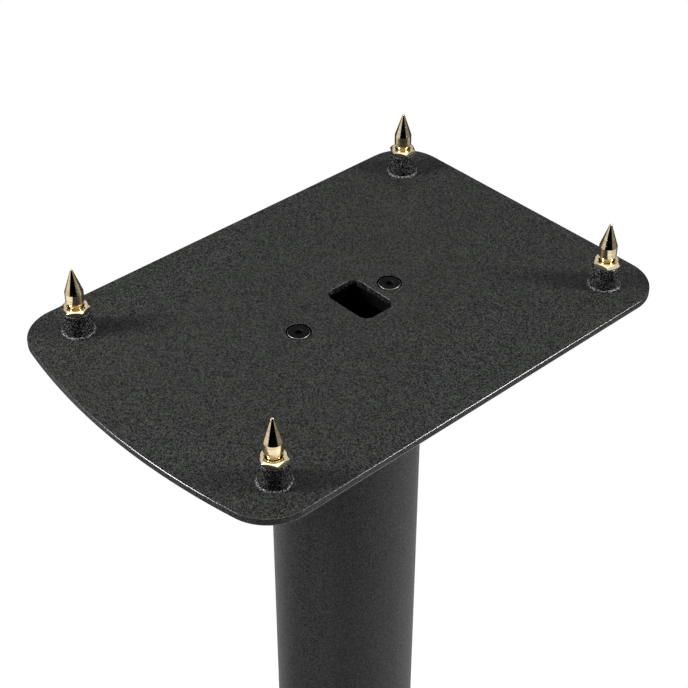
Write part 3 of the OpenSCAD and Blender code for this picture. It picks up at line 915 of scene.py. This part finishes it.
class STAND_OT_nuts(bpy.types.Operator):
    """Builds the lock nuts on both rows of bosses"""
    bl_idname = "stand.nuts"
    bl_label = "Build the lock nuts"

    def execute(self, context):
        unit = bpy.data.objects.new("lock_nut_pattern", nut_mesh(context.scene.stand_spikes))
        tree = station_tree()
        polished_angle = 26
        for prefix, turns in NUT_TURNS.items():
            piece = grow(prefix + "_lock_nuts", stations(prefix, turns), tree, {
                "Piece": unit, "Upside Down": prefix == "base", "Finish": materials()["brass"]})
            nodes = [f"{prefix}_nut_{corner}" for corner in CORNERS]
            finish_piece(piece, "root", "brass", *nodes, angle=polished_angle)
        bpy.data.objects.remove(unit)
        return {"FINISHED"}


class STAND_OT_spikes(bpy.types.Operator):
    """Builds the eight threaded spikes, each on its own body"""
    bl_idname = "stand.spikes"
    bl_label = "Build the spikes"

    def execute(self, context):
        spikes = context.scene.stand_spikes
        tree = spike_tree(rounded_line_tree(), lathe_tree())
        # How far above the stud's foot the thread starts, and how much shorter than the stud it is
        start, shorter = 0.001, 0.0014
        for row, prefix in (("top_spike", "top"), ("floor_spike", "base")):
            places = [tuple(station.co) for station in stations(prefix).vertices]
            for corner, place in zip(CORNERS, places):
                section, foot, seat, core = spike_section(spikes)
                node = f"{row}_{corner}"
                piece = grow("turned_" + node, section, tree, {
                    "Core Radius": core, "Depth": spikes.depth, "Pitch": spikes.pitch,
                    "Thread Foot": foot + start, "Thread Length": seat - foot - shorter, "Place": place,
                    "Upside Down": prefix == "base", "Finish": materials()["brass"]})
                finish_piece(piece, node, "brass", node)
        return {"FINISHED"}


class STAND_OT_screws(bpy.types.Operator):
    """Builds the countersunk screws of both plates"""
    bl_idname = "stand.screws"
    bl_label = "Build the plate screws"

    def execute(self, context):
        screws = context.scene.stand_screws
        tree = screw_ring_tree()
        for prefix, first in FIRST_SCREW.items():
            nodes = screw_nodes(prefix)
            piece = grow(prefix + "_countersunk_screws", screw_mesh(screws), tree, {
                "Count": len(nodes), "Circle": screws.circle, "First Angle": math.radians(first),
                "Height": outer_face(prefix), "Upside Down": prefix == "base",
                "Finish": materials()["oxide"]})
            finish_piece(piece, "root", "black_oxide", *nodes)
        return {"FINISHED"}


class STAND_OT_stage(bpy.types.Operator):
    """Sets up the floor, the soft light and the camera"""
    bl_idname = "stand.stage"
    bl_label = "Set the stage"

    def execute(self, context):
        stage, scene = context.scene.stand_stage, context.scene
        half = stage.floor / 2
        corners = [(-half, -half, 0), (half, -half, 0), (half, half, 0), (-half, half, 0)]
        floor = bpy.data.objects.new("floor", make_mesh("floor", corners, faces=[(0, 1, 2, 3)]))
        scene.collection.objects.link(floor)
        floor.data.materials.append(floor_finish(stage))
        light_world(stage)
        for name, place, side, power in SOFTBOXES:
            softbox(name, place, side, getattr(stage, power))
        bowl = bpy.data.objects.new("reflector_bowl", bowl_mesh())
        scene.collection.objects.link(bowl)
        bowl.data.materials.append(bowl_finish())
        bowl.visible_camera = False
        bowl.visible_shadow = False
        bowl.visible_diffuse = False
        bowl.visible_transmission = False
        camera = bpy.data.cameras.new("photo_camera")
        camera.lens, camera.sensor_width = stage.lens, 36.0
        camera.clip_start, camera.clip_end = 0.01, 50.0
        eye = bpy.data.objects.new("photo_camera", camera)
        eye.location = EYE
        eye.rotation_euler = (math.radians(90 - EYE_DOWN), 0.0, math.radians(EYE_TURN))
        scene.collection.objects.link(eye)
        scene.camera = eye
        scene.view_settings.view_transform = "Standard"
        return {"FINISHED"}


# The stage

def floor_finish(stage):
    """White paper sweep: matt with a soft shadow under the stand, and burnt out to a full white further away.
    A camera below it looks through it."""
    material, node = start_material("white paper floor")
    place = node(PLACE).outputs["Object"]
    rays = node("ShaderNodeLightPath").outputs
    paper = node(PRINCIPLED, {"Base Color": (*stage.floor_colour, 1.0), "Roughness": 0.9})
    glow = node("ShaderNodeEmission", {"Color": WHITE, "Strength": 1.0})
    seen = node(MATH, (rays["Is Camera Ray"], rays["Is Glossy Ray"]), operation="MAXIMUM")
    seen = node(MATH, (seen, rays["Is Transmission Ray"]), operation="MAXIMUM")
    away = node("ShaderNodeVectorMath", (place,), operation="LENGTH").outputs["Value"]
    share = node(RANGE, (away, 0.2, 0.42, 0.55, 1.0), interpolation_type="SMOOTHSTEP")
    share = node(MATH, (seen, share), operation="MULTIPLY")
    mixed = node("ShaderNodeMixShader", (share, paper, glow))
    behind = node("ShaderNodeNewGeometry").outputs["Backfacing"]
    below = node(MATH, (behind, rays["Is Camera Ray"]), operation="MULTIPLY")
    mixed = node("ShaderNodeMixShader", (below, mixed, node("ShaderNodeBsdfTransparent")))
    node(SURFACE, {"Surface": mixed})
    return material


def light_world(stage):
    """Soft light from all round, which shows white where it is seen straight and grey in glossy surfaces"""
    world = bpy.data.worlds.new("white studio")
    world.use_nodes = True
    bpy.context.scene.world = world
    world.node_tree.nodes.clear()
    node = functools.partial(add_node, world.node_tree)
    rays = node("ShaderNodeLightPath").outputs
    seen = node(MATH, (rays["Is Camera Ray"], rays["Is Transmission Ray"]), operation="MAXIMUM")
    strength = node(RANGE, (rays["Is Glossy Ray"], 0.0, 1.0, stage.sky, stage.sheen))
    strength = node(RANGE, (seen, 0.0, 1.0, strength, 1.0))
    sky = node("ShaderNodeBackground", {"Color": WHITE, "Strength": strength})
    node("ShaderNodeOutputWorld", {"Surface": sky})


def softbox(name, place, side, power):
    light = bpy.data.lights.new(name, "AREA")
    light.shape, light.size, light.energy = "SQUARE", side, power
    lamp = bpy.data.objects.new(name, light)
    lamp.location = place
    lamp.rotation_euler = (Vector(LAMP_TARGET) - Vector(place)).to_track_quat("-Z", "Y").to_euler()
    bpy.context.scene.collection.objects.link(lamp)


def bowl_mesh():
    """Boards round the stand that only glossy surfaces show, as reflectors and flags do: each point holds its
    brightness. Close to the stand the floor is bright except on the left, further out it is bright except
    behind, and past that only the left is bright. One more board hangs overhead."""
    heading = EYE_TURN - 90
    points, faces, light = [], [], []
    for radius, height, (front, left, right, behind) in BOARDS:
        for k in range(BOARD_STEPS):
            off = 360 * k / BOARD_STEPS - 180
            a = math.radians(heading + off)
            points.append((radius * math.cos(a), radius * math.sin(a), height))
            side = left if off < 0 else right
            to_side, to_back = (min(1.0, max(0.0, (abs(off) - start) / fade)) for start, fade in BOARD_FADES)
            light.append((front * (1 - to_side) + side * to_side) * (1 - to_back) + behind * to_back)
    for j in range(len(BOARDS) - 1):
        for k in range(BOARD_STEPS):
            inner, outer = j * BOARD_STEPS, (j + 1) * BOARD_STEPS
            faces.append((inner + k, outer + k, outer + (k + 1) % BOARD_STEPS, inner + (k + 1) % BOARD_STEPS))
    cos, sin = math.cos(math.radians(heading)), math.sin(math.radians(heading))
    faces.append(tuple(range(len(points), len(points) + 4)))
    for ahead, aside in ((CEILING_BACK, -CEILING_HALF), (CEILING_FRONT, -CEILING_HALF),
                         (CEILING_FRONT, CEILING_HALF), (CEILING_BACK, CEILING_HALF)):
        points.append((ahead * cos - aside * sin, ahead * sin + aside * cos, CEILING_HEIGHT))
        light.append(CEILING_LIGHT)
    mesh = make_mesh("reflector_bowl", points, faces=faces)
    mesh.attributes.new("light", "FLOAT", "POINT").data.foreach_set("value", light)
    return mesh


def bowl_finish():
    """Reflector boards: they glow as brightly as their points say, with no sheen of their own"""
    material, node = start_material("reflector board")
    light = node(READ, attribute_name="light").outputs["Fac"]
    glow = node("ShaderNodeEmission", {"Color": WHITE, "Strength": light})
    node(SURFACE, {"Surface": glow})
    return material


class STAND_PT_panel(bpy.types.Panel):
    """Lists the stand's sizes, colours and building steps"""
    bl_idname = "STAND_PT_panel"
    bl_label = "Speaker stand"
    bl_space_type = "VIEW_3D"
    bl_region_type = "UI"
    bl_category = "Stand"

    def draw(self, context):
        for title, holder, steps in SECTIONS:
            box = self.layout.box()
            box.label(text=title)
            values = getattr(context.scene, holder)
            for key in values.__annotations__:
                box.prop(values, key)
            for step in steps:
                box.operator(step)


SECTIONS = (
    ("Plates", "stand_plates", ("stand.plates",)),
    ("Pillar", "stand_pillar", ("stand.pillar",)),
    ("Spike stations", "stand_spikes", ("stand.bosses", "stand.nuts", "stand.spikes")),
    ("Plate screws", "stand_screws", ("stand.screws",)),
    ("Finish", "stand_finish", ()),
    ("Stage", "stand_stage", ("stand.stage",)),
)
HOLDERS = {
    "stand_plates": StandPlates, "stand_pillar": StandPillar, "stand_spikes": StandSpikes,
    "stand_screws": StandScrews, "stand_finish": StandFinish, "stand_stage": StandStage,
}
CLASSES = (
    *HOLDERS.values(), STAND_OT_plates, STAND_OT_pillar, STAND_OT_bosses, STAND_OT_nuts, STAND_OT_spikes,
    STAND_OT_screws, STAND_OT_stage, STAND_PT_panel,
)


def register():
    for cls in CLASSES:
        bpy.utils.register_class(cls)
    for name, cls in HOLDERS.items():
        setattr(bpy.types.Scene, name, bpy.props.PointerProperty(type=cls))


def unregister():
    for name in HOLDERS:
        delattr(bpy.types.Scene, name)
    for cls in reversed(CLASSES):
        bpy.utils.unregister_class(cls)


def main():
    register()
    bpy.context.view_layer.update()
    bpy.ops.stand.plates()
    bpy.ops.stand.pillar()
    bpy.ops.stand.bosses()
    bpy.ops.stand.nuts()
    bpy.ops.stand.spikes()
    bpy.ops.stand.screws()
    bpy.ops.stand.stage()


if __name__ == "__main__":
    main()
